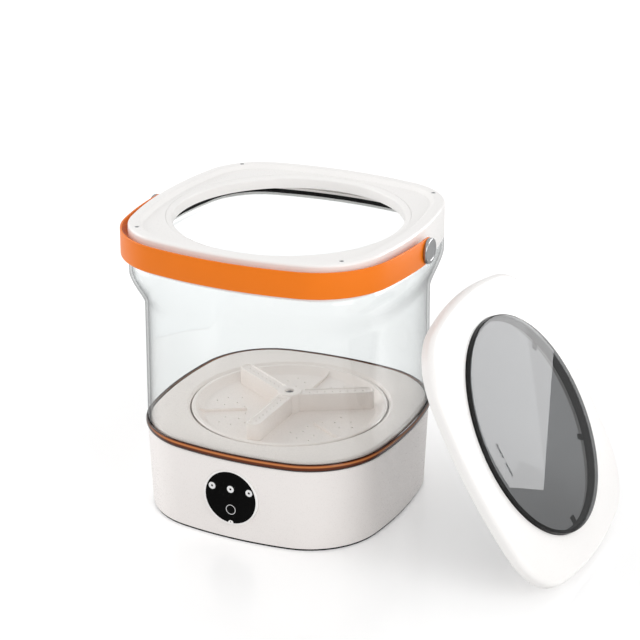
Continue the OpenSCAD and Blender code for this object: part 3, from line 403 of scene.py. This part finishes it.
def see_through(name, face, edge, power, gloss_rough=0.03, shine=1.0):
    """Clear plastic: what is behind shows through, darker where the wall is seen edge on."""
    mat, tree, shader = new_material(name)
    tree.nodes.remove(shader)
    out = tree.nodes["Material Output"]
    weight = tree.nodes.new("ShaderNodeLayerWeight")
    weight.inputs["Blend"].default_value = 0.5

    def raised(exponent):
        node = tree.nodes.new("ShaderNodeMath")
        node.operation = "POWER"
        node.inputs[1].default_value = exponent
        tree.links.new(weight.outputs["Facing"], node.inputs[0])
        return node.outputs["Value"]

    tint = ramp(tree, raised(power), [(0.0, linear(*face)), (1.0, linear(*edge))])
    clear = tree.nodes.new("ShaderNodeBsdfTransparent")
    tree.links.new(tint.outputs["Color"], clear.inputs["Color"])
    gloss = tree.nodes.new("ShaderNodeBsdfGlossy")
    drift = noise(tree, 60.0, 3.0)
    haze = ramp(tree, drift.outputs["Fac"], [(0.3, grey(gloss_rough)), (0.7, grey(gloss_rough * 2))])
    tree.links.new(haze.outputs["Color"], gloss.inputs["Roughness"])
    schlick = tree.nodes.new("ShaderNodeMath")
    schlick.operation = "MULTIPLY_ADD"
    schlick.inputs[1].default_value = 0.6 * shine
    schlick.inputs[2].default_value = 0.04 * shine
    tree.links.new(raised(5.0), schlick.inputs[0])
    mix = tree.nodes.new("ShaderNodeMixShader")
    tree.links.new(schlick.outputs["Value"], mix.inputs["Fac"])
    tree.links.new(clear.outputs["BSDF"], mix.inputs[1])
    tree.links.new(gloss.outputs["BSDF"], mix.inputs[2])
    tree.links.new(mix.outputs["Shader"], out.inputs["Surface"])
    return mat


LOOKS = {
    "white_plastic": plastic("white_plastic", (249, 247, 245), rough=0.32, shade=0.008),
    "base_plastic": plastic("base_plastic", (248, 243, 240), rough=0.3, shade=0.008),
    "deck_plastic": plastic("deck_plastic", (249, 240, 234), rough=0.3, shade=0.012),
    "orange_plastic": plastic("orange_plastic", (243, 124, 16), rough=0.36, shade=0.02, specular=0.25),
    "panel_black": plastic("panel_black", (11, 11, 11), rough=0.12, spread=0.02, shade=0.1, bump=0.0,
                           specular=0.03),
    "panel_print": plastic("panel_print", (240, 240, 240), rough=0.5, shade=0.03),
    "black_plastic": plastic("black_plastic", (22, 22, 23), rough=0.4, shade=0.1),
    "black_rubber": plastic("black_rubber", (13, 13, 14), rough=0.6, shade=0.12, bump=0.2, specular=0.2),
    "nylon": plastic("nylon", (232, 229, 222), rough=0.45),
    "pulley_plastic": plastic("pulley_plastic", (72, 75, 79), rough=0.5, shade=0.06),
    "circuit_board": plastic("circuit_board", (46, 106, 68), rough=0.35, shade=0.1),
    "contact_foam": plastic("contact_foam", (190, 160, 74), rough=0.7, shade=0.1, bump=0.3),
    "wire": plastic("wire", (116, 52, 46), rough=0.4),
    "chrome": metal("chrome", (158, 159, 160), rough=0.14),
    "steel": metal("steel", (158, 160, 162), rough=0.3),
    "shaft_steel": metal("shaft_steel", (196, 198, 200), rough=0.2, streak=20.0),
    "cast_aluminium": metal("cast_aluminium", (168, 171, 174), rough=0.45, shade=0.15),
    "brass": metal("brass", (194, 163, 90), rough=0.25),
    "clear_plastic": see_through("clear_plastic", (252, 253, 253), (70, 73, 75), 7.5),
    "smoked_plastic": see_through("smoked_plastic", (176, 177, 178), (40, 41, 42), 6.0, gloss_rough=0.0,
                                  shine=0.8),
}


def amber():
    """Translucent amber: a painted highlight band above the middle of the bead, painted shade along its top
    and bottom edges, darker still where it is seen edge on.
    """
    mat, tree, shader = new_material("amber_plastic")
    place_of = tree.nodes.new("ShaderNodeTexCoord")
    parts = tree.nodes.new("ShaderNodeSeparateXYZ")
    tree.links.new(place_of.outputs["Object"], parts.inputs["Vector"])
    height = tree.nodes.new("ShaderNodeMapRange")
    height.inputs["From Min"].default_value = HOUSING_TOP * MM
    height.inputs["From Max"].default_value = TRIM_TOP * MM
    tree.links.new(parts.outputs["Z"], height.inputs["Value"])
    # Painted highlight and painted shade, by height: the light band above the middle stands in for a lamp's
    # reflection, and the dark bands at the top and bottom stand in for shade.
    tone = ramp(tree, height.outputs["Result"], [
        (0.0, linear(30, 14, 10)), (0.16, linear(52, 24, 16)), (0.3, linear(88, 38, 14)),
        (0.52, linear(104, 48, 18)), (0.66, linear(208, 130, 74)), (0.76, linear(196, 118, 66)),
        (0.85, linear(82, 38, 20)), (1.0, linear(30, 15, 11))])
    weight = tree.nodes.new("ShaderNodeLayerWeight")
    weight.inputs["Blend"].default_value = 0.5
    turned_away = ramp(tree, weight.outputs["Facing"], [(0.3, grey(1.0)), (0.75, grey(0.12))])
    tint = tree.nodes.new("ShaderNodeMix")
    tint.data_type = "RGBA"
    tint.blend_type = "MULTIPLY"
    tint.inputs[0].default_value = 1.0  # factor; 6 and 7 are its colours
    tree.links.new(tone.outputs["Color"], tint.inputs[6])
    tree.links.new(turned_away.outputs["Color"], tint.inputs[7])
    tree.links.new(tint.outputs[2], shader.inputs["Base Color"])
    rough = noise(tree, 40.0, 2.0)
    gloss = ramp(tree, rough.outputs["Fac"], [(0.3, grey(0.06)), (0.7, grey(0.12))])
    tree.links.new(gloss.outputs["Color"], shader.inputs["Roughness"])
    shader.inputs["Specular IOR Level"].default_value = 0.22
    return mat


LOOKS["amber_plastic"] = amber()

slot_of = {s["node"]: s["material_slot"] for s in frame["record"]["subparts"]}
body_of = {n: b for b, ns in frame["record"]["behaviour"]["bodies"].items() for n in ns}
for node, obj in frame["nodes"].items():
    obj.data.materials.clear()
    obj.data.materials.append(LOOKS[slot_of[node]])


def stands_for(obj, node, look=None):
    """The piece takes the place of a CAD node and moves with its body."""
    slot = slot_of[node]
    obj.data.materials.clear()
    obj.data.materials.append(LOOKS[look or slot])
    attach(obj, body_of[node])
    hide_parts(node)
    return obj


# Base

low = BODY_HALF - HOUSING_DRAFT
housing = swept("housing_shell", [
    (low - WALL, FOOT_T, 0), (low, FOOT_T, 1.0), (BODY_HALF, HOUSING_TOP, 0.9),
    (BODY_HALF - WALL - 10, HOUSING_TOP, 0.3), (BODY_HALF - WALL - 10, HOUSING_TOP - FLANGE_T, 0.3),
    (BODY_HALF - WALL, HOUSING_TOP - FLANGE_T, 1), (low - WALL, FOOT_T + 2.5, 0)], LOW_C)
carve(housing, [
    rod("bore", PANEL_R + 2.4, 60, place(0, -100, PANEL_Z) @ FRONT, 96),
    rod("inlet", INLET_R, 40, place(0, 145, INLET_Z) @ FRONT)])
stands_for(housing, "base_housing", "base_plastic")

trim = swept("trim_bead", [
    (BODY_HALF - 0.2, HOUSING_TOP, 0.1), (BODY_HALF + 1.235, HOUSING_TOP + 1.5, 1.5),
    (BODY_HALF + TRIM_BULGE, HOUSING_TOP + 3.8, 3), (BODY_HALF + 1.75, HOUSING_TOP + 6.2, 3),
    (BODY_HALF + 1.05, TRIM_TOP - 1, 1), (BODY_HALF + 0.2, TRIM_TOP, 0.3), (BODY_HALF, TRIM_TOP - 0.6, 0),
    (BODY_HALF, TRIM_SEAT, 0), (BODY_HALF - 2.9, TRIM_SEAT, 0), (BODY_HALF - 2.9, HOUSING_TOP, 0)], LOW_C)
stands_for(trim, "trim_ring")


# Clear tub

def ease(t):
    """How far out the flare is at a share of its height: a straight line and a soft S mixed."""
    return t * 0.55 + 0.45 * (1 - math.cos(math.pi * t)) / 2


def tub_rings():
    """The tub's section from its outer foot up the flare, over the tongue and down inside."""
    steps = 26
    outer = [(TUB_LOW, TRIM_SEAT + 0.9, LOW_C)]
    flare = []
    for i in range(steps + 1):
        t = i / steps
        e = ease(t)
        flare.append((TUB_HIGH + (COLLAR_HALF - TUB_HIGH) * e, FLARE_LOW + (FLARE_TOP - FLARE_LOW) * t,
                      LOW_C + (TOP_C - LOW_C) * e))
    tongue = [(COLLAR_HALF, SEAM - 0.2, TOP_C), (142.0, SEAM - 0.2, TOP_C), (142.0, SEAM + TONGUE_H, TOP_C),
              (139.6, SEAM + TONGUE_H, TOP_C), (139.6, SEAM - 2, TOP_C),
              (COLLAR_HALF - TUB_WALL, SEAM - 6, TOP_C)]
    inner = [(a - TUB_WALL, z + TUB_WALL / 4, c) for a, z, c in reversed(flare)]
    inner.append((TUB_LOW - TUB_WALL, TRIM_SEAT + 0.9, LOW_C))
    return [ring(a, c, z) for a, z, c in outer + flare + tongue + inner]


tub = loft("tub_shell", tub_rings(), sharp=25.0)
stands_for(tub, "tub")


# Deck and pulsator

def deck_rings():
    """The deck's section: its rim, the well with its lip, then the underside."""
    out = TUB_LOW - TUB_WALL - 0.3
    top = fillet([(out, HOUSING_TOP, 0), (out, DECK_Z, 4.0), (118, DECK_Z, 0)], steps=8, closed=False)
    rings = [ring(a, LOW_C, z) for a, z in top]
    well = fillet([
        (WELL_R + 8, DECK_Z, 0), (WELL_R - 0.2, DECK_Z, 2.0), (LIP_R, DECK_Z - 2.4, 1.0),
        (LIP_R, DECK_Z - 4.4, 0.4), (WELL_R, DECK_Z - 5.4, 0.3), (WELL_R, WELL_FLOOR, 1.5),
        (WELL_HOLE_R, WELL_FLOOR, 0), (WELL_HOLE_R, WELL_FLOOR - DECK_T, 0),
        (WELL_R + DECK_T, WELL_FLOOR - DECK_T, 1), (WELL_R + DECK_T, DECK_Z - DECK_T, 0.5)],
        steps=5, closed=False)
    rings += [round_ring(r, LOW_C, z) for r, z in well]
    under = [(out - 4.4, DECK_Z - DECK_T), (out - WALL, DECK_Z - 5), (out - WALL, HOUSING_TOP + 2.6),
             (out - 9, HOUSING_TOP + 2.6), (out - 9, HOUSING_TOP)]
    rings += [ring(a, LOW_C, z) for a, z in under]
    return rings


deck = loft("deck_moulding", deck_rings())
stands_for(deck, "wash_deck")

PULS_Z = WELL_FLOOR + 0.9
DISH_TOP = PULS_Z + 2.6
BLADE_TOP = DISH_TOP + 19.5
HUB_TOP = BLADE_TOP + 1.5
dish_rim = PULS_Z + 9.5
dish = lathe("dish", [
    (SHAFT_HOLE_R, PULS_Z, 0), (PULS_R - 12, PULS_Z, 4), (PULS_R - 0.3, dish_rim - 2.6, 1),
    (PULS_R, dish_rim - 1.2, 0.5), (PULS_R - 1, dish_rim, 0.8), (PULS_R - 4.4, dish_rim, 0.8),
    (PULS_R - 5.6, dish_rim - 1.1, 1.0), (PULS_R - 12.8, DISH_TOP, 6), (SHAFT_HOLE_R, DISH_TOP, 0)], n=160)
drains = []
for k in range(3):
    for s in (-1, 1):
        for r, t in ((48, 11), (58, 20), (70, 13), (58, 33), (72, 28), (80, 20)):
            at = turned(90 + 120 * k + s * t, "Z") @ place(r, 0, PULS_Z - 1)
            drains.append(rod("drain", DRAIN_R, 6, at, 12))
carve(dish, drains)


def stadium(w, start, reach, n):
    """A bar of width w from start to reach, with a round outer end."""
    r = w / 2
    pts = [(start, r), (start, -r)]
    for i in range(n + 1):
        a = -math.pi / 2 + math.pi * i / n
        pts.append((reach - r + r * math.cos(a), r * math.sin(a)))
    return pts


def blade(angle):
    """An upright blade with a shallow trough and a row of holes along its top."""
    at = turned(angle, "Z")
    body = prism("blade", stadium(BLADE_W, 4.0, 89.0, 16), DISH_TOP - 1, BLADE_TOP, at)
    trough = prism("trough", stadium(TROUGH_W, 16.0, 87.0, 16), BLADE_TOP - 1.4, BLADE_TOP + 3, at)
    carve(body, [trough])
    bevelled(body, 0.9, 3)
    holes = [rod("hole", DRAIN_R, 8, at @ place(x, 0, BLADE_TOP - 5), 12) for x in range(21, 80, 8)]
    return carve(body, holes)


def rib(angle):
    """A low thin rib that runs out across the dish and ends on its sloping edge."""
    slope_r, slope_top = PULS_R - 6, PULS_Z + 7.9
    flat_r = PULS_R - 12
    side = [(45, DISH_TOP - 1), (flat_r, DISH_TOP - 1), (slope_r, slope_top - 1), (slope_r, slope_top),
            (flat_r - 4, DISH_TOP + 3), (45, DISH_TOP + 3)]
    body = prism("rib", side, -1, 1, turned(angle, "Z") @ FRONT)
    return bevelled(body, 0.5, 2)


hub = lathe("hub", [
    (2.4, DISH_TOP - 1, 0), (13.0, DISH_TOP - 1, 0), (13.0, HUB_TOP, 1.2), (5.0, HUB_TOP, 0.5),
    (5.0, HUB_TOP - 4, 0), (2.4, HUB_TOP - 4, 0)], n=64)
pulsator = joined("pulsator_moulding", [dish, hub] + [blade(t) for t in (30, 150, 270)]
                  + [rib(t) for t in (90, 210, 330)])
stands_for(pulsator, "pulsator")


# Collar

def collar_rings():
    """The collar's section: its side, its top down to the plate, then the inside down to its shelf."""
    a = COLLAR_HALF
    outer = fillet([
        (142.2, SEAM, 0), (a, SEAM, 0.3), (a, COLLAR_TOP, 3.4), (SLOPE_TOP, COLLAR_TOP, 2.2),
        (SLOPE_FOOT, RECESS, 3.0), (127, RECESS, 0)], steps=7, closed=False)
    rings = [ring(r, TOP_C, z) for r, z in outer]
    rings += [round_ring(r, TOP_C, z) for r, z in (
        (MOUTH_R + FUNNEL + 0.2, RECESS), (MOUTH_R + FUNNEL + 0.2, PLATE_LOW))]
    inner = [(SLOPE_FOOT, PLATE_LOW), (SLOPE_TOP - 1, COLLAR_TOP - 2.4), (140, COLLAR_TOP - 2.4),
             (COLLAR_IN, COLLAR_TOP - 4.8), (COLLAR_IN, SHELF_Z), (SHELF_IN, SHELF_Z),
             (SHELF_IN, SEAL_TOP), (142.2, SEAL_TOP)]
    rings += [ring(r, TOP_C, z) for r, z in inner]
    return rings


collar = loft("collar_moulding", collar_rings())
wells = []
for q in range(4):
    at = turned(90 * q, "Z") @ place(SCREW_AT, SCREW_AT, COLLAR_TOP - 1.2)
    wells.append(rod("screw_well", SCREW_WELL_R, 4, at, 32))
carve(collar, wells)
bosses = []
for q in range(2):
    at = turned(180 * q, "Z") @ place(COLLAR_HALF, 0, PIVOT_Z) @ turned(90, "Y")
    boss = [(BOSS_HOLE_R, -2, 0), (BOSS_R, -2, 0), (BOSS_R, BOSS_OUT, 0.6), (BOSS_HOLE_R, BOSS_OUT, 0.2)]
    bosses.append(lathe("pin_boss", boss, n=64, matrix=at))
collar = joined("collar_moulding", [collar] + bosses)
stands_for(collar, "collar")

mouth = lathe("mouth_moulding", [
    (MOUTH_R, MOUTH_LOW, 0.3), (MOUTH_R + MOUTH_WALL, MOUTH_LOW, 0.3),
    (MOUTH_R + MOUTH_WALL, PLATE_LOW - 2.4, 0), (MOUTH_FLANGE_R, PLATE_LOW - 2.4, 0.3),
    (MOUTH_FLANGE_R, PLATE_LOW, 0), (MOUTH_R + FUNNEL, PLATE_LOW, 0), (MOUTH_R + FUNNEL, RECESS, 0.3),
    (MOUTH_R + 0.8, RECESS - 1.7, 1.5), (MOUTH_R, RECESS - 2.8, 1.0)], n=160)
stands_for(mouth, "mouth_ring")


# Handle

def strap():
    """A flat strap with soft edges, round the front half and a little past its pivots."""
    end_r = STRAP_W / 2
    path = [Vector((x, y)) for x, y, _ in ring(STRAP_HALF + STRAP_T / 2, STRAP_C, 0)]
    n = len(path)
    first = max(i for i in range(n) if path[i].x < 0 and path[i].y > end_r - 0.2)
    order = [(first + k) % n for k in range(n)]
    pts = [path[i] for i in order if path[i].y < 0.0]
    ends = []
    steps = 14
    for s in (-1, 1):
        row = []
        for k in range(steps + 1):
            y = end_r * math.sin(math.pi / 2 * k / steps) * 0.9995
            x = math.sqrt((STRAP_HALF + STRAP_T / 2 + SIDE_MID) ** 2 - y * y) - SIDE_MID
            row.append((Vector((s * x, y)), math.sqrt(max(end_r ** 2 - y * y, 0.01))))
        ends.append(row)
    full = [(p, h) for p, h in reversed(ends[0])] + [(p, end_r) for p in pts] + ends[1]
    rings = []
    t, edge = STRAP_T / 2, 0.7
    for i, (p, h) in enumerate(full):
        before = full[max(i - 1, 0)][0]
        after = full[min(i + 1, len(full) - 1)][0]
        d = (after - before).normalized()
        out = Vector((d.y, -d.x))
        e = min(edge, h * 0.9)
        section = fillet([(t, h, e), (-t, h, e), (-t, -h, e), (t, -h, e)], steps=4)
        rings.append([(p.x + out.x * u, p.y + out.y * u, v) for u, v in section])
    at_rest = place(0, 0, PIVOT_Z) @ turned(-STRAP_LIFT, "X")
    return loft("strap_handle", rings, closed=False, caps=True, matrix=at_rest)


handle = strap()
pin_holes = []
for q in range(2):
    at = turned(180 * q, "Z") @ place(145, 0, PIVOT_Z) @ turned(90, "Y")
    pin_holes.append(rod("pin_hole", PIN_HOLE_R, 12, at))
carve(handle, pin_holes)
stands_for(handle, "handle")

pins = []
for q in range(2):
    at = turned(180 * q, "Z") @ place(0, 0, PIVOT_Z) @ turned(90, "Y")
    cap_x = STRAP_HALF + STRAP_T + 0.3
    pins.append(lathe("pin", [
        (0, PIN_END, 0), (PIN_R, PIN_END, 0.4), (PIN_R, cap_x, 0), (CAP_R, cap_x, 0.4),
        (CAP_R, cap_x + CAP_T, 1.4), (9.5, cap_x + CAP_T, 0.3), (9.0, cap_x + CAP_T - 0.25, 0.3),
        (0, cap_x + CAP_T - 0.25, 0)], n=96, matrix=at))
stands_for(joined("handle_pin_pair", pins), "handle_pins")


# Touch panel

def panel_face(x, z, out):
    """A place on the panel: x to the right and z up from its middle, out towards the front."""
    return place(x, -out, PANEL_Z + z) @ FRONT


bezel_front = BODY_HALF - HOUSING_DRAFT * (1 - (PANEL_Z - FOOT_T) / (HOUSING_TOP - FOOT_T)) + 1.1
panel_front = bezel_front - 0.35


def washer(name, r0, r1, x, z):
    """A thin printed ring from radius r0 to r1."""
    outline = [(r0, 0, 0), (r1, 0, 0), (r1, 0.15, 0), (r0, 0.15, 0)]
    return lathe(name, outline, n=48, matrix=panel_face(x, z, panel_front))


marks = [washer("start_mark", START_R - START_LINE, START_R, 0, -START_DROP)]
for x in (-PROGRAM_GAP, 0, PROGRAM_GAP):
    marks.append(washer("program_mark", PROGRAM_HOLE, PROGRAM_R, x, PROGRAM_RISE))
stands_for(joined("panel_marks", marks), "panel_rings")


# Lid

def lid_rings():
    """The lid frame's section: its side and top, the window's hole, then the underside."""
    a = LID_HALF
    outer = fillet([
        (a - LID_WALL, -LID_H, 0.3), (a, -LID_H, 1.5), (a, 0, 6.5), (120, 0, 0)], steps=8, closed=False)
    rings = [ring(r, LID_C, z) for r, z in outer]
    hole = fillet([
        (WINDOW_R + 5, 0, 0), (WINDOW_R + 0.2, 0, 0.5), (WINDOW_R + 0.2, -LID_WALL, 0)],
        steps=4, closed=False)
    rings += [round_ring(r, LID_C, z) for r, z in hole]
    rings += [ring(r, LID_C, z) for r, z in ((a - 5.6, -LID_WALL), (a - LID_WALL, -5.2))]
    return rings


lid = loft("lid_moulding", lid_rings(), matrix=LID)
stands_for(lid, "lid_frame")

R = WINDOW_R
window = lathe("window_pane", [
    (R - PANE_T, -LID_WALL, 0.2), (R, -LID_WALL, 0.2), (R, WINDOW_RISE, 1.8), (R - 5, WINDOW_RISE, 0),
    (0, WINDOW_RISE, 0), (0, WINDOW_RISE - PANE_T, 0), (R - PANE_T, WINDOW_RISE - PANE_T, 1.2)],
    n=160, matrix=LID)
slots = []
for s in (-1, 1):
    half_l, half_w = SLOT_L / 2, SLOT_W / 2
    corners = ((-half_l, -half_w), (half_l, -half_w), (half_l, half_w), (-half_l, half_w))
    plan = [(1.6 + s * 10.15 + x, 22.8 - R + y) for x, y in corners]
    slots.append(prism("slot", plan, -1, 8, LID))
carve(window, slots)
stands_for(window, "lid_window")


# Floor, light and camera

def floor():
    """A pale, softly shining floor that keeps the object's shadow and grows brighter away from it."""
    size = 6.0
    mesh = bpy.data.meshes.new("floor")
    corners = [(-size, -size, 0), (size, -size, 0), (size, size, 0), (-size, size, 0)]
    mesh.from_pydata(corners, [], [(0, 1, 2, 3)])
    obj = bpy.data.objects.new("floor", mesh)
    scene.collection.objects.link(obj)
    mat, tree, shader = new_material("floor")
    shader.inputs["Base Color"].default_value = grey(0.86)
    shader.inputs["Roughness"].default_value = 0.22
    path = tree.nodes.new("ShaderNodeLightPath")
    seen = tree.nodes.new("ShaderNodeMath")
    seen.operation = "MAXIMUM"
    tree.links.new(path.outputs["Is Camera Ray"], seen.inputs[0])
    tree.links.new(path.outputs["Is Transmission Ray"], seen.inputs[1])
    coords = tree.nodes.new("ShaderNodeTexCoord")
    away = tree.nodes.new("ShaderNodeVectorMath")
    away.operation = "LENGTH"
    tree.links.new(coords.outputs["Object"], away.inputs[0])
    fade = tree.nodes.new("ShaderNodeMapRange")
    fade.inputs["From Min"].default_value = 0.35
    fade.inputs["From Max"].default_value = 1.2
    fade.inputs["To Min"].default_value = 0.22
    fade.inputs["To Max"].default_value = 0.45
    tree.links.new(away.outputs["Value"], fade.inputs["Value"])
    glow = tree.nodes.new("ShaderNodeMath")
    glow.operation = "MULTIPLY"
    tree.links.new(seen.outputs["Value"], glow.inputs[0])
    tree.links.new(fade.outputs["Result"], glow.inputs[1])
    tree.links.new(glow.outputs["Value"], shader.inputs["Emission Strength"])
    shader.inputs["Emission Color"].default_value = grey(1.0)
    obj.data.materials.append(mat)


floor()

# The room is white where it is seen, mirrored or seen through, and lights the object a little less
ROOM_LIGHT = 0.74
world = bpy.data.worlds.new("studio")
scene.world = world
world.use_nodes = True
tree = world.node_tree
back = tree.nodes["Background"]
path = tree.nodes.new("ShaderNodeLightPath")
bright = tree.nodes.new("ShaderNodeMath")
bright.operation = "MAXIMUM"
tree.links.new(path.outputs["Is Camera Ray"], bright.inputs[0])
tree.links.new(path.outputs["Is Transmission Ray"], bright.inputs[1])
either = tree.nodes.new("ShaderNodeMath")
either.operation = "MAXIMUM"
tree.links.new(bright.outputs["Value"], either.inputs[0])
tree.links.new(path.outputs["Is Glossy Ray"], either.inputs[1])
level = tree.nodes.new("ShaderNodeMapRange")
level.inputs["To Min"].default_value = ROOM_LIGHT
level.inputs["To Max"].default_value = 1.0
tree.links.new(either.outputs["Value"], level.inputs["Value"])
tree.links.new(level.outputs["Result"], back.inputs["Strength"])
back.inputs["Color"].default_value = grey(1.0)


def area(name, at, aim, size, power):
    """A lamp that isn't seen itself, but shows in shiny parts."""
    data = bpy.data.lights.new(name, "AREA")
    data.shape = "RECTANGLE"
    data.size, data.size_y = size
    data.energy = power
    obj = bpy.data.objects.new(name, data)
    obj.location = at
    obj.rotation_euler = (Vector(aim) - Vector(at)).to_track_quat("-Z", "Y").to_euler()
    obj.visible_camera = False
    scene.collection.objects.link(obj)
    return obj


area("key", at=(-2.4, -0.3, 1.05), aim=(0, 0, 0.15), size=(1.6, 1.6), power=22)
area("right", at=(2.1, -0.9, 1.05), aim=(0.1, 0, 0.1), size=(1.4, 1.4), power=18)

# The soft box whose edge shows in the lid's window; it stands low, behind and to the right
side_box = area("side", at=(0, 0, 0), aim=(0, 0, -1), size=(0.43, 0.4), power=3.7)
side_box.visible_diffuse = False
toward = Vector((0.5082, 0.8592, 0.0596)).normalized()
across = Vector((0, 0, 1)).cross(toward).normalized()
upward = toward.cross(across)
ROLL_COS, ROLL_SIN = 0.838, 0.546
edge = across * ROLL_COS + upward * ROLL_SIN
rise = upward * ROLL_COS - across * ROLL_SIN
turn = Matrix((edge, rise, toward)).transposed().to_4x4()
side_box.matrix_world = Matrix.Translation(Vector((0.6, 0.551, 0.3915))) @ turn

camera_data = bpy.data.cameras.new("camera")
camera = bpy.data.objects.new("camera", camera_data)
scene.collection.objects.link(camera)
azimuth, elevation, distance = math.radians(25.69), math.radians(22.18), 2.1853
target = Vector((0.01894, 0.03408, 0.18338))
back_way = Vector((math.sin(azimuth) * math.cos(elevation), -math.cos(azimuth) * math.cos(elevation),
                   math.sin(elevation)))
camera.location = target + back_way * distance
camera.rotation_euler = back_way.to_track_quat("Z", "Y").to_euler()
camera_data.lens = 117.63
camera_data.sensor_width = 36.0
camera_data.clip_end = 50.0
scene.camera = camera

scene.view_settings.view_transform = "Standard"
